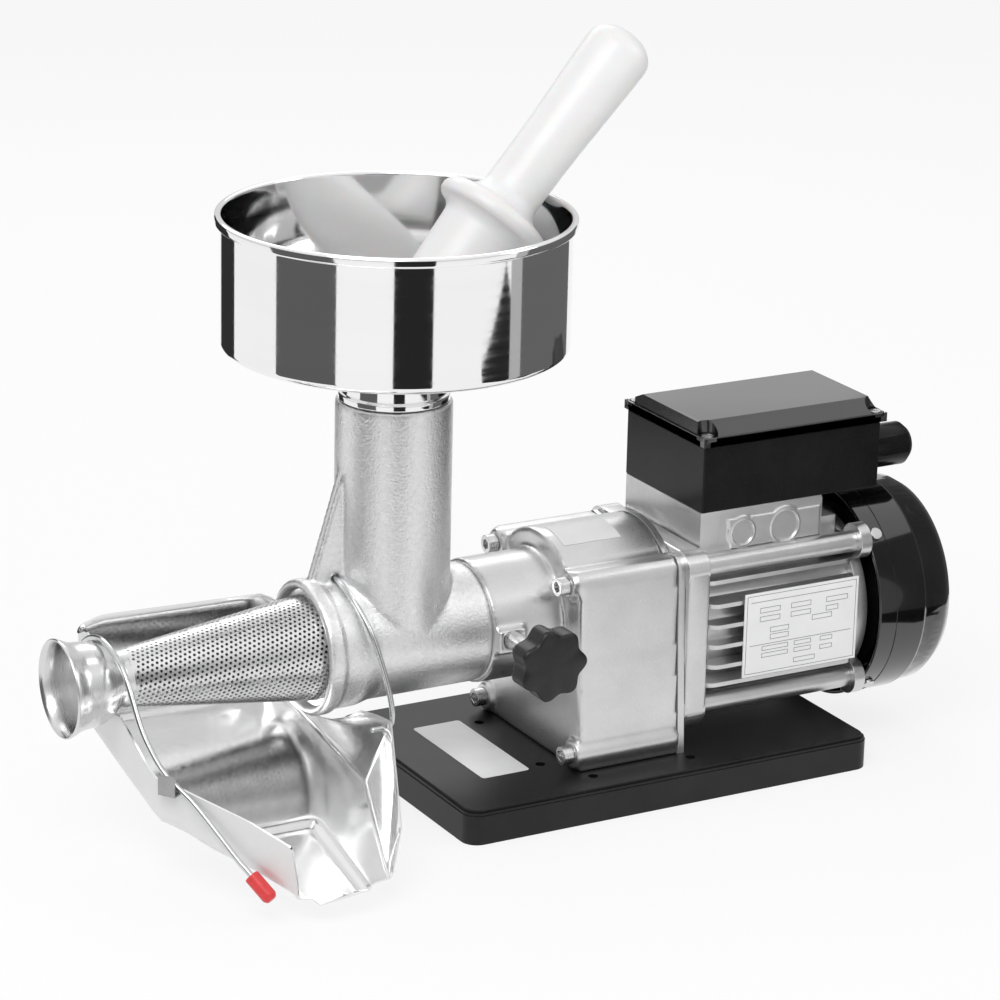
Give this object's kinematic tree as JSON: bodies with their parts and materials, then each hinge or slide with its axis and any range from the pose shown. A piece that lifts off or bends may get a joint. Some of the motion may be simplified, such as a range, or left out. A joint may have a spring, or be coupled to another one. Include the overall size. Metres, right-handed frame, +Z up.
{
  "type": "electric tomato press",
  "caption": "Motor-driven tomato press: worm, conical strainer, feed hopper with pestle, splash tray, and geared motor on a flat base.",
  "frame": {"origin": "middle of the base's underside, on the surface that the press stands on", "axes": "+X from the strainer to the motor along the shafts, -Y to the side of the clamp knob and the tray's spout, +Z up"},
  "size_m": [0.518, 0.2298, 0.416],
  "materials": {
    "black_base": "satin moulded plastic",
    "black_rubber": "matt",
    "cast_aluminium": "tumbled casting",
    "polished_steel": "mirror-polished stainless sheet",
    "steel_wire": "drawn stainless wire",
    "zinc_steel": "bright zinc plate",
    "gear_steel": "ground and oiled",
    "bearing_steel": "ground",
    "bronze": "sintered",
    "lamination_steel": "varnished laminations",
    "copper_winding": "varnished copper wire",
    "black_paint": "gloss black paint on sheet steel",
    "black_plastic": "satin moulded plastic",
    "white_plastic": "smooth white food plastic",
    "red_plastic": "soft moulded plastic",
    "label_foil": "satin foil, left bare",
    "gasket_fibre": "pressed fibre",
    "seal_red": "matt silicone",
    "capacitor_can": "bright can"
  },
  "bodies": {
    "base": {"base_plate": "black_base", "rubber_pads": "black_rubber", "base_data_plate": "label_foil", "base_screws": "zinc_steel", "gearbox_housing": "cast_aluminium", "gearbox_gasket": "gasket_fibre", "gearbox_rear_cover": "cast_aluminium", "housing_screws": "zinc_steel", "output_bearings": "bearing_steel", "output_oil_seal": "black_rubber", "layshaft_bushes": "bronze", "motor_oil_seal": "black_rubber", "motor_end_shield": "cast_aluminium", "motor_housing": "cast_aluminium", "stator_core": "lamination_steel", "stator_windings": "copper_winding", "motor_bearings": "bearing_steel", "rear_end_shield": "cast_aluminium", "tie_rods": "zinc_steel", "fan_cover": "black_paint", "fan_cover_screws": "zinc_steel", "terminal_box": "black_plastic", "lid_gasket": "black_rubber", "terminal_box_lid": "black_plastic", "lid_screws": "zinc_steel", "capacitor": "capacitor_can", "terminal_block": "white_plastic", "cable_gland": "black_plastic", "motor_nameplate": "label_foil"},
    "rotor": {"motor_shaft": "gear_steel", "rotor_core": "lamination_steel", "motor_pinion": "gear_steel", "cooling_fan": "black_plastic"},
    "layshaft": {"layshaft": "gear_steel", "lay_gear": "gear_steel", "lay_pinion": "gear_steel"},
    "output": {"output_shaft": "gear_steel", "output_gear": "gear_steel"},
    "clamp_screw": {"clamp_stud": "zinc_steel"},
    "clamp_handle": {"clamp_knob": "black_plastic"},
    "head": {"press_body": "cast_aluminium", "body_seal": "seal_red", "rear_wire": "steel_wire"},
    "worm": {"worm": "cast_aluminium", "thrust_washer": "white_plastic"},
    "strainer": {"strainer_cone": "polished_steel", "strainer_ring": "polished_steel", "outlet_cup": "polished_steel"},
    "hopper": {"hopper": "polished_steel", "hopper_spigot": "polished_steel"},
    "pestle": {"pestle": "white_plastic"},
    "tray": {"splash_tray": "polished_steel", "tray_hook": "polished_steel"},
    "latch": {"latch_wire": "steel_wire", "latch_cap": "red_plastic"}
  },
  "joints": [
    {"name": "rotor_spin", "type": "hinge", "parent": "base", "child": "rotor", "pos_m": [0, 0, 0.079], "axis": [1, 0, 0], "continuous": true},
    {"name": "layshaft_spin", "type": "hinge", "parent": "base", "child": "layshaft", "pos_m": [0, 0, 0.049], "axis": [1, 0, 0], "continuous": true},
    {"name": "output_spin", "type": "hinge", "parent": "base", "child": "output", "pos_m": [0, 0, 0.095], "axis": [1, 0, 0], "continuous": true},
    {"name": "clamp_travel", "type": "slide", "parent": "base", "child": "clamp_screw", "axis": [0, -1, 0], "range_m": [0, 0.0061]},
    {"name": "clamp_turn", "type": "hinge", "parent": "clamp_screw", "child": "clamp_handle", "pos_m": [-0.08, 0, 0.095], "axis": [0, -1, 0], "range_deg": [0, 1440]},
    {"name": "head_withdraw", "type": "slide", "parent": "base", "child": "head", "axis": [-1, 0, 0], "range_m": [0, 0.026]},
    {"name": "worm_spin", "type": "hinge", "parent": "head", "child": "worm", "pos_m": [0, 0, 0.095], "axis": [1, 0, 0], "continuous": true},
    {"name": "strainer_withdraw", "type": "slide", "parent": "head", "child": "strainer", "axis": [-1, 0, 0], "range_m": [0, 0.012]},
    {"name": "hopper_lift", "type": "slide", "parent": "head", "child": "hopper", "axis": [0, 0, 1], "range_m": [0, 0.05]},
    {"name": "pestle_lift", "type": "slide", "parent": "hopper", "child": "pestle", "axis": [0, 0, 1], "range_m": [0, 0.15]},
    {"name": "tray_swing", "type": "hinge", "parent": "head", "child": "tray", "pos_m": [-0.1635, 0, 0.0625], "axis": [0, -1, 0], "range_deg": [0, 9]},
    {"name": "latch_swing", "type": "hinge", "parent": "tray", "child": "latch", "pos_m": [-0.295, 0.04, 0.075], "axis": [1, 0, 0], "range_deg": [-108, 0]}
  ],
  "couplings": [
    {"joint": "layshaft_spin", "follows": "rotor_spin", "ratio": -0.25},
    {"joint": "output_spin", "follows": "rotor_spin", "ratio": 0.088235},
    {"joint": "worm_spin", "follows": "rotor_spin", "ratio": 0.088235},
    {"joint": "clamp_travel", "follows": "clamp_turn", "m_per_rad": 0.00023873},
    {"joint": "latch_swing", "follows": "tray_swing", "ratio": -12}
  ]
}
